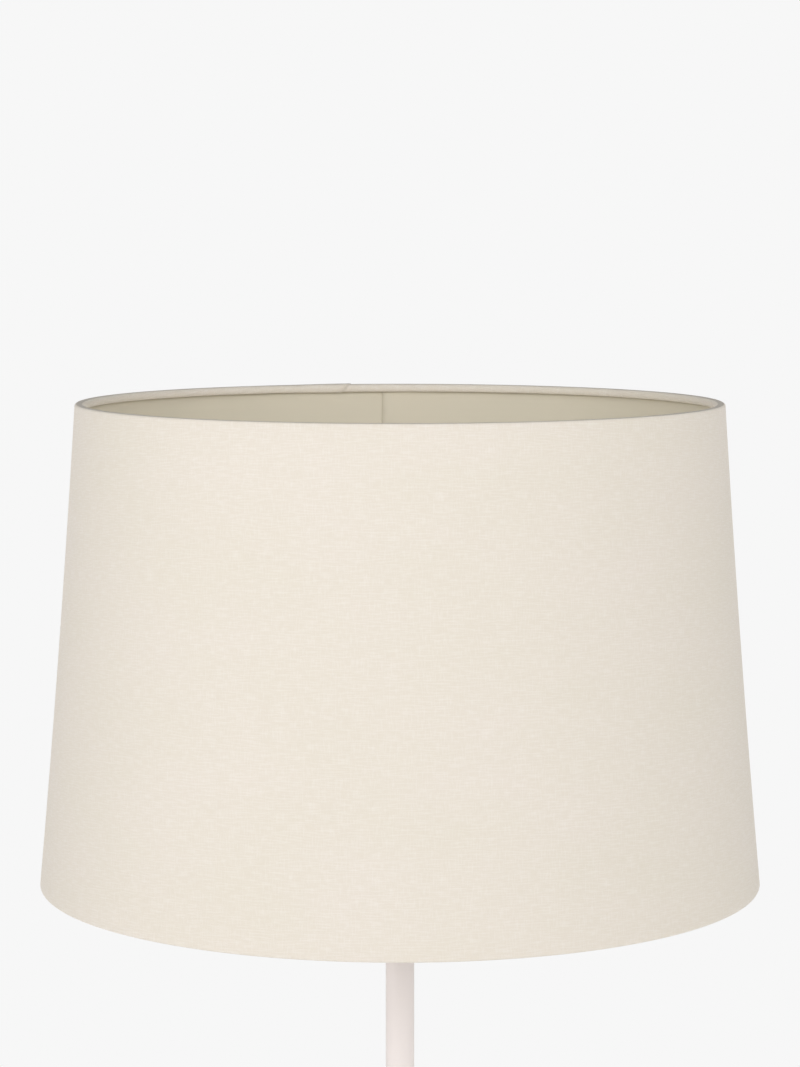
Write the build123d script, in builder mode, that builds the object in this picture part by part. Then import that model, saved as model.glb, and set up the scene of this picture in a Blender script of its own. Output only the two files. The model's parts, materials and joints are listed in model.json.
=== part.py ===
"""Tripod floor lamp: a tapered drum shade on a short steel stem, carried by a hub with three folding legs.

Millimetres. +Z is up, and the origin is on the floor, on the lamp's own axis. The lamp's front is -Y, and leg 1
points to the back.
"""

import os
from math import cos, radians, sin, tan

from build123d import *

# Driving dimensions
SHADE_BOTTOM_Z = 1200.0
SHADE_HEIGHT = 300.0
SHADE_BOTTOM_R = 225.0
SHADE_TOP_R = 200.5
STEM_R = 9.0
SPLAY = 12.0  # each leg's angle from the vertical when the tripod is open, in degrees
FOOT_R = 226.0  # from the lamp's axis to the middle of each foot
PIVOT_R = 38.0  # from the lamp's axis to each leg's hinge bolt
LEG_AZIMUTHS = (90.0, 210.0, 330.0)

# Clearances
SLIP = 0.05  # between a pin and its hole, radially
GAP = 0.1  # between flat faces that slide or rest on each other

# Shade: the cover wraps both wire rings, and a stiff lining backs it
COVER_T = 0.5
LINING_T = 0.6
RING_WIRE_R = 2.1
HEM_R = RING_WIRE_R + COVER_T
ARM_WIRE_R = 1.8
ARM_AZIMUTHS = (30.0, 150.0, 270.0)
FITTER_Z = SHADE_BOTTOM_Z + 26  # underside of the ring that sits on the lampholder
FITTER_T = 1.5
FITTER_INNER_R = 20.6
FITTER_OUTER_R = 30.0

# Lampholder, measured up from the underside of the shade's fitter ring
HOLDER_FLANGE_R = 23.0
HOLDER_THREAD_R = 19.8
HOLDER_THREAD_DEPTH = 0.8
HOLDER_THREAD_PITCH = 2.5
HOLDER_BORE_R = 16.6
HOLDER_TOP_Z = FITTER_Z + 30
CAP_TOP_Z = FITTER_Z - 12
CAP_BOTTOM_Z = FITTER_Z - 36
CAP_R = 21.0
CAP_WALL = 2.0
NIPPLE_R = 5.0
NIPPLE_BORE_R = 3.2
LOCKNUT_T = 3.0
SWITCH_Z = FITTER_Z - 23
SWITCH_BAR_R = 2.5
SWITCH_BAR_HALF = 31.0
SWITCH_TRAVEL = 6.0

# Bulb and its screw thread
SHELL_BOTTOM_Z = FITTER_Z + 3
CAP_THREAD_PITCH = 3.6
CAP_THREAD_TURNS = 6
SHELL_GROOVE_R = 13.9
SHELL_CREST_R = 12.9
SHELL_T = 0.4
BULB_THREAD_GAP = 0.25
BULB_R = 30.0
BULB_CENTRE_Z = FITTER_Z + 82
BULB_SKIN = 1.4

# Stem
STEM_WALL = 1.0
STEM_PLUG_FLANGE_T = 3.0
STEM_TOP_Z = CAP_BOTTOM_Z - LOCKNUT_T - STEM_PLUG_FLANGE_T
FLEX_R = 2.5
FLEX_BEND_R = 10.0
CORE_R = 1.1

# Hub and hinges
PIVOT_Z = (FOOT_R - PIVOT_R) / tan(radians(SPLAY))
DRUM_R = 26.0
DRUM_FLAT_R = 25.5  # flats on the drum that the opened legs stop against
DRUM_BOTTOM_Z = PIVOT_Z - 16
DRUM_TOP_Z = PIVOT_Z + 17
BOSS_R = 15.0
BOSS_TOP_Z = PIVOT_Z + 34
CAVITY_R = 22.5
CAVITY_TOP_Z = PIVOT_Z + 8
SOCKET_LEDGE_T = 2.0
EAR_R = 11.5
EAR_T = 6.5
EAR_GAP = 14.0
EAR_BEVEL = 1.2
EASED = 0.8  # bevel on the castings' other outer edges
BOLT_R = 3.0
WASHER_R = 7.5
WASHER_T = 0.9
COVER_PLATE_R = DRUM_R - 1.0
COVER_PLATE_T = 3.0
COVER_SCREW_R = 1.5
COVER_SCREW_PCR = 18.5
GLAND_BORE_R = 3.7
GLAND_R = 6.0

# Legs, measured along the leg from its hinge bolt
TANG_T = EAR_GAP - 2 * (WASHER_T + GAP)
TANG_R = 11.0
CUP_START = 24.0
CUP_END = 72.0
CUP_R = 15.0
SPIGOT_R = 12.2
SPIGOT_START = 30.0
LEG_TOP_R = 15.0
LEG_END_R = 9.5
LEG_REACH = PIVOT_Z / cos(radians(SPLAY))
LEG_END = LEG_REACH - 5.0
FOOT_CUP_R = 11.0
FOOT_CUP_LENGTH = 26.0

os.makedirs("parts", exist_ok=True)


def save(piece, name):
    """Labels a finished piece and writes its STEP file."""
    piece.part.label = name
    export_step(piece.part, f"parts/{name}.step")


def wall_radius(z):
    """Outside radius of the shade at a height above the floor."""
    share = (z - SHADE_BOTTOM_Z) / SHADE_HEIGHT
    return SHADE_BOTTOM_R + (SHADE_TOP_R - SHADE_BOTTOM_R) * share


def turned(*outline):
    """A round piece: a closed outline of (radius, height) points, turned about the lamp's axis."""
    with BuildPart() as piece:
        with BuildSketch(Plane.XZ):
            with BuildLine():
                Polyline(*outline, close=True)
            make_face()
        revolve(axis=Axis.Z)
    return piece


def upright_plane(azimuth, radius, height):
    """A vertical plane through the lamp's axis: x runs outwards, y runs up."""
    a = radians(azimuth)
    return Plane(
        origin=(radius * cos(a), radius * sin(a), height),
        x_dir=(cos(a), sin(a), 0),
        z_dir=(sin(a), -cos(a), 0),
    )


# ---------------------------------------------------------------------------------------------------- shade
TOP_HEM_Z = SHADE_BOTTOM_Z + SHADE_HEIGHT - HEM_R
BOTTOM_HEM_Z = SHADE_BOTTOM_Z + HEM_R
HEM_INSET = COVER_T + LINING_T + HEM_R + GAP


def hem_centre(z):
    """Where a wire ring's section lies at that height, as (radius, height)."""
    return (wall_radius(z) - HEM_INSET, z)


def ring_wire(z):
    """A shade's wire ring."""
    with BuildPart() as piece:
        with BuildSketch(Plane.XZ):
            with Locations(hem_centre(z)):
                Circle(RING_WIRE_R)
        revolve(axis=Axis.Z)
    return piece


top_ring = ring_wire(TOP_HEM_Z)
save(top_ring, "shade_top_ring")
bottom_ring = ring_wire(BOTTOM_HEM_Z)
save(bottom_ring, "shade_bottom_ring")

with BuildPart() as fitter_ring:
    with BuildSketch(Plane.XY.offset(FITTER_Z)):
        Circle(FITTER_OUTER_R)
        Circle(FITTER_INNER_R, mode=Mode.SUBTRACT)
    extrude(amount=FITTER_T)
    fillet(fitter_ring.edges().group_by(Axis.Z)[-1], 0.4)
save(fitter_ring, "shade_fitter_ring")

# Each arm leaves the bottom wire ring level, climbs to the fitter ring and is welded under its rim.
ARM_INNER_R = HOLDER_FLANGE_R + 1.6
ARM_BEND_R = 8.0
ARM_TOP_Z = FITTER_Z - ARM_WIRE_R + 0.4
with BuildPart() as fitter_arms:
    for azimuth in ARM_AZIMUTHS:
        arm_plane = upright_plane(azimuth, 0, 0)
        with BuildLine(arm_plane) as arm_route:
            FilletPolyline(
                hem_centre(BOTTOM_HEM_Z),
                (wall_radius(BOTTOM_HEM_Z) - 22, BOTTOM_HEM_Z),
                (FITTER_OUTER_R + 12, ARM_TOP_Z),
                (ARM_INNER_R, ARM_TOP_Z),
                radius=ARM_BEND_R,
            )
        with BuildSketch(Plane(arm_route.line @ 0, z_dir=arm_route.line % 0)):
            Circle(ARM_WIRE_R)
        sweep(path=arm_route.line)
    add(bottom_ring.part, mode=Mode.SUBTRACT)
    add(fitter_ring.part, mode=Mode.SUBTRACT)
save(fitter_arms, "shade_fitter_arms")

with BuildPart() as lining:
    with BuildSketch(Plane.XZ):
        with BuildLine():
            low = SHADE_BOTTOM_Z + COVER_T
            high = SHADE_BOTTOM_Z + SHADE_HEIGHT - COVER_T
            Polyline(
                (wall_radius(low) - COVER_T, low),
                (wall_radius(high) - COVER_T, high),
                (wall_radius(high) - COVER_T - LINING_T, high),
                (wall_radius(low) - COVER_T - LINING_T, low),
                close=True,
            )
        make_face()
    revolve(axis=Axis.Z)
save(lining, "shade_lining")

# The cover is one cloth skin. It turns over the lining's edges and wraps the wire rings, and it is notched for
# the arms at the bottom ring.
ARM_NOTCH_R = ARM_WIRE_R + 0.6
with BuildPart() as cover:
    with BuildSketch(Plane.XZ):
        with BuildLine():
            low = SHADE_BOTTOM_Z
            high = SHADE_BOTTOM_Z + SHADE_HEIGHT
            Polyline(
                (wall_radius(low), low),
                (wall_radius(high), high),
                (hem_centre(TOP_HEM_Z)[0], high),
                (hem_centre(TOP_HEM_Z)[0], high - COVER_T),
                (wall_radius(high - COVER_T) - COVER_T, high - COVER_T),
                (wall_radius(low + COVER_T) - COVER_T, low + COVER_T),
                (hem_centre(BOTTOM_HEM_Z)[0], low + COVER_T),
                (hem_centre(BOTTOM_HEM_Z)[0], low),
                close=True,
            )
        make_face()
        with Locations(hem_centre(TOP_HEM_Z), hem_centre(BOTTOM_HEM_Z)):
            Circle(HEM_R)
            Circle(RING_WIRE_R, mode=Mode.SUBTRACT)
    revolve(axis=Axis.Z)
    for azimuth in ARM_AZIMUTHS:
        notch_plane = Plane(
            origin=upright_plane(azimuth, wall_radius(SHADE_BOTTOM_Z) - HEM_INSET, BOTTOM_HEM_Z).origin,
            z_dir=(-cos(radians(azimuth)), -sin(radians(azimuth)), 0),
        )
        with BuildSketch(notch_plane):
            Circle(ARM_NOTCH_R)
        extrude(amount=2 * HEM_R, mode=Mode.SUBTRACT)
save(cover, "shade_cover")

# ---------------------------------------------------------------------------------------------- lampholder
thread_outline = []
thread_z = FITTER_Z + 1
while thread_z + HOLDER_THREAD_PITCH < HOLDER_TOP_Z - 2:
    thread_outline.append((HOLDER_THREAD_R, thread_z))
    thread_outline.append((HOLDER_THREAD_R - HOLDER_THREAD_DEPTH, thread_z + HOLDER_THREAD_PITCH / 2))
    thread_z += HOLDER_THREAD_PITCH

skirt = turned(
    (HOLDER_BORE_R, CAP_TOP_Z + 0.05),
    (CAP_R, CAP_TOP_Z + 0.05),
    (CAP_R, FITTER_Z - 5),
    (HOLDER_FLANGE_R, FITTER_Z - 3),
    (HOLDER_FLANGE_R, FITTER_Z - GAP),
    (HOLDER_THREAD_R, FITTER_Z - GAP),
    *thread_outline,
    (HOLDER_THREAD_R, thread_z),
    (HOLDER_THREAD_R, HOLDER_TOP_Z - 1),
    (HOLDER_THREAD_R - 1, HOLDER_TOP_Z),
    (HOLDER_BORE_R, HOLDER_TOP_Z),
)
save(skirt, "holder_skirt")

with BuildPart() as holder_cap:
    with BuildSketch(Plane.XZ):
        with BuildLine():
            Polyline(
                (NIPPLE_R + SLIP, CAP_BOTTOM_Z + CAP_WALL),
                (NIPPLE_R + SLIP, CAP_BOTTOM_Z),
                (9, CAP_BOTTOM_Z),
                (9, CAP_BOTTOM_Z + 2),
            )
            ThreePointArc((9, CAP_BOTTOM_Z + 2), (17.5, CAP_BOTTOM_Z + 5.2), (CAP_R, CAP_BOTTOM_Z + 13))
            Polyline(
                (CAP_R, CAP_BOTTOM_Z + 13),
                (CAP_R, CAP_TOP_Z),
                (CAP_R - CAP_WALL, CAP_TOP_Z),
                (CAP_R - CAP_WALL, CAP_BOTTOM_Z + 13),
            )
            ThreePointArc(
                (CAP_R - CAP_WALL, CAP_BOTTOM_Z + 13),
                (16, CAP_BOTTOM_Z + 6.6),
                (9, CAP_BOTTOM_Z + 2 + CAP_WALL),
            )
            Line((9, CAP_BOTTOM_Z + 2 + CAP_WALL), (NIPPLE_R + SLIP, CAP_BOTTOM_Z + CAP_WALL))
        make_face()
    revolve(axis=Axis.Z)
    with BuildSketch(Plane.YZ):
        with Locations((0, SWITCH_Z)):
            Circle(SWITCH_BAR_R + SLIP)
    extrude(amount=2 * CAP_R, both=True, mode=Mode.SUBTRACT)
save(holder_cap, "holder_cap")

INSERT_BOTTOM_Z = FITTER_Z - 17
INSERT_R = HOLDER_BORE_R - SLIP
insert = turned(
    (0, INSERT_BOTTOM_Z),
    (INSERT_R, INSERT_BOTTOM_Z),
    (INSERT_R, HOLDER_TOP_Z - 3),
    (SHELL_GROOVE_R + 0.3, HOLDER_TOP_Z - 3),
    (SHELL_GROOVE_R + 0.3, FITTER_Z),
    (0, FITTER_Z),
)
save(insert, "holder_insert")


def screw_outline(root, crest, start_z):
    """One side of a screw shell: flat roots and crests by turns, as (radius, height) points going up."""
    points = []
    for turn in range(CAP_THREAD_TURNS):
        z = start_z + turn * CAP_THREAD_PITCH
        points.append((root, z))
        points.append((root, z + 0.35 * CAP_THREAD_PITCH))
        points.append((crest, z + 0.5 * CAP_THREAD_PITCH))
        points.append((crest, z + 0.85 * CAP_THREAD_PITCH))
    points.append((root, start_z + CAP_THREAD_TURNS * CAP_THREAD_PITCH))
    return points


screw_shell = turned(
    *screw_outline(SHELL_GROOVE_R, SHELL_CREST_R + SHELL_T, SHELL_BOTTOM_Z),
    *reversed(screw_outline(SHELL_GROOVE_R - SHELL_T, SHELL_CREST_R, SHELL_BOTTOM_Z)),
)
save(screw_shell, "holder_screw_shell")

CONTACT_T = 0.5
CONTACT_RISE = 2.6
with BuildPart() as contact:
    with BuildSketch(Plane.XZ):
        with BuildLine():
            Polyline(
                (-9, FITTER_Z),
                (-5, FITTER_Z),
                (3, FITTER_Z + CONTACT_RISE),
                (6, FITTER_Z + CONTACT_RISE - 0.8),
                (6, FITTER_Z + CONTACT_RISE - 0.8 + CONTACT_T),
                (3, FITTER_Z + CONTACT_RISE + CONTACT_T),
                (-5, FITTER_Z + CONTACT_T),
                (-9, FITTER_Z + CONTACT_T),
                close=True,
            )
        make_face()
    extrude(amount=3, both=True)
save(contact, "holder_contact")

TERMINAL_Y = 9.0
TERMINAL_T = 3.0
TERMINAL_TIP_Z = INSERT_BOTTOM_Z - TERMINAL_T - 1.5
with BuildPart() as terminals:
    with BuildSketch(Plane.XY.offset(INSERT_BOTTOM_Z)):
        with GridLocations(0, 2 * TERMINAL_Y, 1, 2):
            Rectangle(7, 5)
    extrude(amount=-TERMINAL_T)
    with BuildSketch(Plane.XY.offset(INSERT_BOTTOM_Z - TERMINAL_T)):
        with GridLocations(0, 2 * TERMINAL_Y, 1, 2):
            Circle(1.8)
    extrude(amount=TERMINAL_TIP_Z - INSERT_BOTTOM_Z + TERMINAL_T)
save(terminals, "holder_terminals")

nipple = turned(
    (NIPPLE_BORE_R, STEM_TOP_Z - 12),
    (NIPPLE_R, STEM_TOP_Z - 12),
    (NIPPLE_R, CAP_BOTTOM_Z + 6),
    (NIPPLE_BORE_R, CAP_BOTTOM_Z + 6),
)
save(nipple, "holder_nipple")

with BuildPart() as locknut:
    with BuildSketch(Plane.XY.offset(CAP_BOTTOM_Z - LOCKNUT_T)):
        RegularPolygon(radius=7.0, side_count=6, major_radius=False)
        Circle(NIPPLE_R + SLIP, mode=Mode.SUBTRACT)
    extrude(amount=LOCKNUT_T)
save(locknut, "holder_locknut")

# The nut that clamps the shade: a thin flange under a ribbed collar.
RING_NUT_BORE_R = HOLDER_THREAD_R + 0.25
RING_NUT_Z = FITTER_Z + FITTER_T + GAP
RING_NUT_COLLAR_R = 24.0
RING_NUT_RIBS = 24
with BuildPart() as ring_nut:
    with BuildSketch(Plane.XY.offset(RING_NUT_Z)):
        Circle(28.5)
        Circle(RING_NUT_BORE_R, mode=Mode.SUBTRACT)
    extrude(amount=2.2)
    with BuildSketch(Plane.XY.offset(RING_NUT_Z + 2.2)):
        Circle(RING_NUT_COLLAR_R)
        with PolarLocations(RING_NUT_COLLAR_R, RING_NUT_RIBS):
            Circle(1.0)
        Circle(RING_NUT_BORE_R, mode=Mode.SUBTRACT)
    extrude(amount=9.5)
save(ring_nut, "shade_ring_nut")

# The bar runs right through the cap, with a push knob on each end. At rest it is pushed fully to -X.
SWITCH_MIDDLE_X = -SWITCH_TRAVEL / 2
KNOB_R = 4.5
KNOB_T = 5.0
with BuildPart() as switch_bar:
    with BuildSketch(Plane.YZ.offset(SWITCH_MIDDLE_X)):
        with Locations((0, SWITCH_Z)):
            Circle(SWITCH_BAR_R)
    extrude(amount=SWITCH_BAR_HALF, both=True)
save(switch_bar, "switch_bar")

with BuildPart() as switch_knobs:
    for side in (-1, 1):
        with BuildSketch(Plane.YZ.offset(SWITCH_MIDDLE_X + side * SWITCH_BAR_HALF)):
            with Locations((0, SWITCH_Z)):
                Circle(KNOB_R)
        extrude(amount=side * KNOB_T)
    fillet(switch_knobs.edges().filter_by(GeomType.CIRCLE), 0.9)
save(switch_knobs, "switch_knobs")

# ---------------------------------------------------------------------------------------------------- bulb
BULB_CAP_ROOT_R = SHELL_GROOVE_R - SHELL_T - BULB_THREAD_GAP
BULB_CAP_WAIST_R = SHELL_CREST_R - BULB_THREAD_GAP
BULB_CAP_Z = SHELL_BOTTOM_Z + CAP_THREAD_PITCH
BULB_CAP_TOP_Z = SHELL_BOTTOM_Z + (CAP_THREAD_TURNS + 1) * CAP_THREAD_PITCH
BULB_CAP_SKIN = 0.6
bulb_cap = turned(
    *screw_outline(BULB_CAP_ROOT_R, BULB_CAP_WAIST_R, SHELL_BOTTOM_Z + CAP_THREAD_PITCH),
    (BULB_CAP_WAIST_R - BULB_CAP_SKIN, BULB_CAP_TOP_Z),
    (BULB_CAP_WAIST_R - BULB_CAP_SKIN, BULB_CAP_Z),
)
save(bulb_cap, "bulb_screw_cap")

BULB_TIP_Z = FITTER_Z + CONTACT_RISE + CONTACT_T + SLIP
bulb_insulator = turned(
    (0, BULB_TIP_Z + 1.2),
    (4.6, BULB_TIP_Z + 1.2),
    (BULB_CAP_WAIST_R - BULB_CAP_SKIN - SLIP, BULB_CAP_Z - 0.5),
    (BULB_CAP_WAIST_R - BULB_CAP_SKIN - SLIP, BULB_CAP_Z + 2),
    (0, BULB_CAP_Z + 2),
)
save(bulb_insulator, "bulb_insulator")
bulb_tip = turned((0, BULB_TIP_Z), (3.2, BULB_TIP_Z), (4.2, BULB_TIP_Z + 1.2), (0, BULB_TIP_Z + 1.2))
save(bulb_tip, "bulb_contact")

# The housing flares from the screw cap to the globe, which is a round shell seated on the housing's rim.
GLOBE_RIM_DROP = 12.0
GLOBE_RIM_R = (BULB_R**2 - GLOBE_RIM_DROP**2) ** 0.5
GLOBE_RIM_Z = BULB_CENTRE_Z - GLOBE_RIM_DROP
GLOBE_INNER_R = BULB_R - BULB_SKIN
GLOBE_INNER_RIM_R = (GLOBE_INNER_R**2 - GLOBE_RIM_DROP**2) ** 0.5
with BuildPart() as bulb_housing:
    with BuildSketch(Plane.XZ):
        with BuildLine():
            Line((0, BULB_CAP_TOP_Z), (14.2, BULB_CAP_TOP_Z))
            Spline(
                (14.2, BULB_CAP_TOP_Z),
                (18.4, BULB_CAP_TOP_Z + 18),
                (GLOBE_RIM_R, GLOBE_RIM_Z),
                tangents=((0, 1), (0.45, 1)),
            )
            Line((GLOBE_RIM_R, GLOBE_RIM_Z), (0, GLOBE_RIM_Z))
            Line((0, GLOBE_RIM_Z), (0, BULB_CAP_TOP_Z))
        make_face()
    revolve(axis=Axis.Z)
save(bulb_housing, "bulb_housing")


def globe_point(radius, elevation):
    """A point on a sphere about the globe's centre, as (radius, height)."""
    a = radians(elevation)
    return (radius * cos(a), BULB_CENTRE_Z + radius * sin(a))


with BuildPart() as bulb_globe:
    with BuildSketch(Plane.XZ):
        with BuildLine():
            ThreePointArc((GLOBE_RIM_R, GLOBE_RIM_Z), globe_point(BULB_R, 35), globe_point(BULB_R, 90))
            Line(globe_point(BULB_R, 90), globe_point(GLOBE_INNER_R, 90))
            ThreePointArc(
                globe_point(GLOBE_INNER_R, 90),
                globe_point(GLOBE_INNER_R, 35),
                (GLOBE_INNER_RIM_R, GLOBE_RIM_Z),
            )
            Line((GLOBE_INNER_RIM_R, GLOBE_RIM_Z), (GLOBE_RIM_R, GLOBE_RIM_Z))
        make_face()
    revolve(axis=Axis.Z)
save(bulb_globe, "bulb_globe")

# ---------------------------------------------------------------------------------------------------- stem
STEM_INNER_R = STEM_R - STEM_WALL
STEM_BOTTOM_Z = CAVITY_TOP_Z + SOCKET_LEDGE_T
stem = turned(
    (STEM_INNER_R, STEM_BOTTOM_Z),
    (STEM_R, STEM_BOTTOM_Z),
    (STEM_R, STEM_TOP_Z),
    (STEM_INNER_R, STEM_TOP_Z),
)
save(stem, "stem_tube")

plug = turned(
    (NIPPLE_R + SLIP, STEM_TOP_Z - 14),
    (STEM_INNER_R - SLIP, STEM_TOP_Z - 14),
    (STEM_INNER_R - SLIP, STEM_TOP_Z),
    (STEM_R, STEM_TOP_Z),
    (STEM_R, STEM_TOP_Z + STEM_PLUG_FLANGE_T - 0.6),
    (STEM_R - 0.6, STEM_TOP_Z + STEM_PLUG_FLANGE_T),
    (NIPPLE_R + SLIP, STEM_TOP_Z + STEM_PLUG_FLANGE_T),
)
save(plug, "stem_plug")

# ----------------------------------------------------------------------------------------------------- hub
COVER_SCREW_AZIMUTHS = (30.0, 150.0, 270.0)
COVER_SCREW_DEPTH = 9.0
SET_SCREW_R = 2.5
SET_SCREW_Z = (DRUM_TOP_Z + BOSS_TOP_Z) / 2 + 2
SET_SCREW_AZIMUTH = 90.0


def polar(radius, azimuth):
    """A point in plan, as (x, y)."""
    return (radius * cos(radians(azimuth)), radius * sin(radians(azimuth)))


with BuildSketch() as ear:
    Circle(EAR_R)
    with BuildLine():
        Polyline(
            (0, -EAR_R),
            (-18, -EAR_R),
            (-18, EAR_R + 3),
            (-11, EAR_R + 3),
            (0, EAR_R),
            close=True,
        )
    make_face()
ear_outline = ear.sketch

with BuildPart() as hub:
    with BuildSketch(Plane.XZ):
        with BuildLine():
            Polyline(
                (0, DRUM_BOTTOM_Z),
                (DRUM_R - EASED, DRUM_BOTTOM_Z),
                (DRUM_R, DRUM_BOTTOM_Z + EASED),
                (DRUM_R, DRUM_TOP_Z - 4),
            )
            ThreePointArc((DRUM_R, DRUM_TOP_Z - 4), (DRUM_R - 2.4, DRUM_TOP_Z + 0.6), (DRUM_R - 7, DRUM_TOP_Z + 3))
            ThreePointArc((DRUM_R - 7, DRUM_TOP_Z + 3), (BOSS_R + 0.9, DRUM_TOP_Z + 5), (BOSS_R, DRUM_TOP_Z + 8.5))
            Polyline(
                (BOSS_R, DRUM_TOP_Z + 8.5),
                (BOSS_R, BOSS_TOP_Z - 1.2),
                (BOSS_R - 1.2, BOSS_TOP_Z),
                (0, BOSS_TOP_Z),
                (0, DRUM_BOTTOM_Z),
            )
        make_face()
    revolve(axis=Axis.Z)
    for azimuth in LEG_AZIMUTHS:
        middle = upright_plane(azimuth, PIVOT_R, PIVOT_Z)
        # the flat that the leg's heel stops against
        with BuildSketch(middle):
            with Locations((DRUM_FLAT_R - PIVOT_R, 0)):
                Rectangle(8, 60, align=(Align.MIN, Align.CENTER))
        extrude(amount=EAR_GAP / 2, both=True, mode=Mode.SUBTRACT)
        for side in (-1, 1):
            with BuildSketch(middle.offset(side * EAR_GAP / 2)):
                add(ear_outline)
            extrude(amount=side * (EAR_T - EAR_BEVEL))
            with BuildSketch(middle.offset(side * (EAR_GAP / 2 + EAR_T - EAR_BEVEL))):
                add(ear_outline)
            extrude(amount=side * EAR_BEVEL, taper=45)
        with BuildSketch(middle.offset(-EAR_GAP / 2 - EAR_T)):
            Circle(BOLT_R + SLIP)
        extrude(amount=EAR_GAP + 2 * EAR_T, mode=Mode.SUBTRACT)
    with BuildSketch(Plane.XY.offset(DRUM_BOTTOM_Z)):
        Circle(CAVITY_R)
    extrude(amount=CAVITY_TOP_Z - DRUM_BOTTOM_Z, mode=Mode.SUBTRACT)
    with BuildSketch(Plane.XY.offset(CAVITY_TOP_Z)):
        Circle(6.5)
    extrude(amount=SOCKET_LEDGE_T, mode=Mode.SUBTRACT)
    with BuildSketch(Plane.XY.offset(STEM_BOTTOM_Z)):
        Circle(STEM_R + SLIP)
    extrude(amount=BOSS_TOP_Z - STEM_BOTTOM_Z, mode=Mode.SUBTRACT)
    with BuildSketch(Plane.XY.offset(DRUM_BOTTOM_Z)):
        for azimuth in COVER_SCREW_AZIMUTHS:
            with Locations(polar(COVER_SCREW_PCR, azimuth)):
                Circle(4.2)
    extrude(amount=CAVITY_TOP_Z - DRUM_BOTTOM_Z)
    with BuildSketch(Plane.XY.offset(DRUM_BOTTOM_Z)):
        for azimuth in COVER_SCREW_AZIMUTHS:
            with Locations(polar(COVER_SCREW_PCR, azimuth)):
                Circle(COVER_SCREW_R + SLIP)
    extrude(amount=COVER_SCREW_DEPTH + 1, mode=Mode.SUBTRACT)
    with BuildSketch(Plane.XZ):
        with Locations((0, SET_SCREW_Z)):
            Circle(SET_SCREW_R + SLIP)
    extrude(amount=-BOSS_R - 2, mode=Mode.SUBTRACT)
save(hub, "hub_body")

with BuildPart() as set_screw:
    with BuildSketch(Plane.XZ.offset(-STEM_R)):
        with Locations((0, SET_SCREW_Z)):
            Circle(SET_SCREW_R)
    extrude(amount=-(BOSS_R - STEM_R) - 0.5)
    with BuildSketch(Plane.XZ.offset(-BOSS_R - 0.5)):
        with Locations((0, SET_SCREW_Z)):
            RegularPolygon(radius=1.25, side_count=6, major_radius=False)
    extrude(amount=2.2, mode=Mode.SUBTRACT)
save(set_screw, "stem_set_screw")

with BuildPart() as cover_plate:
    with BuildSketch(Plane.XY.offset(DRUM_BOTTOM_Z - COVER_PLATE_T)):
        Circle(COVER_PLATE_R)
        Circle(GLAND_R + SLIP, mode=Mode.SUBTRACT)
    extrude(amount=COVER_PLATE_T)
    fillet(cover_plate.edges().group_by(Axis.Z)[0].sort_by(SortBy.RADIUS)[-1], 1.2)
    with Locations(Plane.XY.offset(DRUM_BOTTOM_Z - COVER_PLATE_T).rotated((180, 0, 0))):
        for azimuth in COVER_SCREW_AZIMUTHS:
            with Locations(polar(COVER_SCREW_PCR, -azimuth)):
                CounterSinkHole(
                    radius=COVER_SCREW_R + SLIP,
                    counter_sink_radius=3.0,
                    depth=COVER_PLATE_T,
                    counter_sink_angle=90,
                )
save(cover_plate, "hub_cover_plate")

with BuildPart() as cover_screws:
    screw_bottom = DRUM_BOTTOM_Z - COVER_PLATE_T
    for azimuth in COVER_SCREW_AZIMUTHS:
        with BuildSketch(upright_plane(azimuth, COVER_SCREW_PCR, screw_bottom)):
            with BuildLine():
                Polyline(
                    (0, 1.0),
                    (1.4, 0.15),
                    (2.8, 0.15),
                    (COVER_SCREW_R, 1.45),
                    (COVER_SCREW_R, COVER_PLATE_T + COVER_SCREW_DEPTH),
                    (0, COVER_PLATE_T + COVER_SCREW_DEPTH),
                    close=True,
                )
            make_face()
        x, y = polar(COVER_SCREW_PCR, azimuth)
        revolve(axis=Axis((x, y, 0), (0, 0, 1)))
save(cover_screws, "hub_cover_screws")

# The lead's gland clips into the cover plate: a domed flange outside, a lip inside, and a bore with eased ends.
GLAND_BOTTOM_Z = DRUM_BOTTOM_Z - COVER_PLATE_T - 4
GLAND_TOP_Z = DRUM_BOTTOM_Z + 2.5
gland = turned(
    (GLAND_BORE_R, GLAND_BOTTOM_Z),
    (GLAND_BORE_R + 1.4, GLAND_BOTTOM_Z),
    (8.6, GLAND_BOTTOM_Z + 3.2),
    (8.6, GLAND_BOTTOM_Z + 4 - SLIP),
    (GLAND_R, GLAND_BOTTOM_Z + 4 - SLIP),
    (GLAND_R, DRUM_BOTTOM_Z + SLIP),
    (GLAND_R + 0.9, DRUM_BOTTOM_Z + SLIP),
    (GLAND_R, GLAND_TOP_Z),
    (GLAND_BORE_R, GLAND_TOP_Z),
)
save(gland, "cord_gland")

# A terminal block stands on the cover plate. The stem's flex comes down the lamp's axis and bends over to it.
BLOCK_AZIMUTH = 330.0
BLOCK_HEIGHT = 12.0
BLOCK_DEPTH = 8.0
BLOCK_WIDTH = 17.0
BLOCK_ENTRY_Z = DRUM_BOTTOM_Z + 7
TERMINAL_SPACING = 9.0
block_base = Plane(
    origin=(*polar(FLEX_BEND_R + BLOCK_DEPTH / 2, BLOCK_AZIMUTH), DRUM_BOTTOM_Z),
    x_dir=(*polar(1, BLOCK_AZIMUTH), 0),
    z_dir=(0, 0, 1),
)
with BuildPart() as block:
    with BuildSketch(block_base):
        RectangleRounded(BLOCK_DEPTH, BLOCK_WIDTH, 1.2)
    extrude(amount=BLOCK_HEIGHT)
    with BuildSketch(block_base.offset(BLOCK_HEIGHT)):
        with GridLocations(0, TERMINAL_SPACING, 1, 2):
            Circle(1.9)
    extrude(amount=-2.0, mode=Mode.SUBTRACT)
save(block, "terminal_block")

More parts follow.
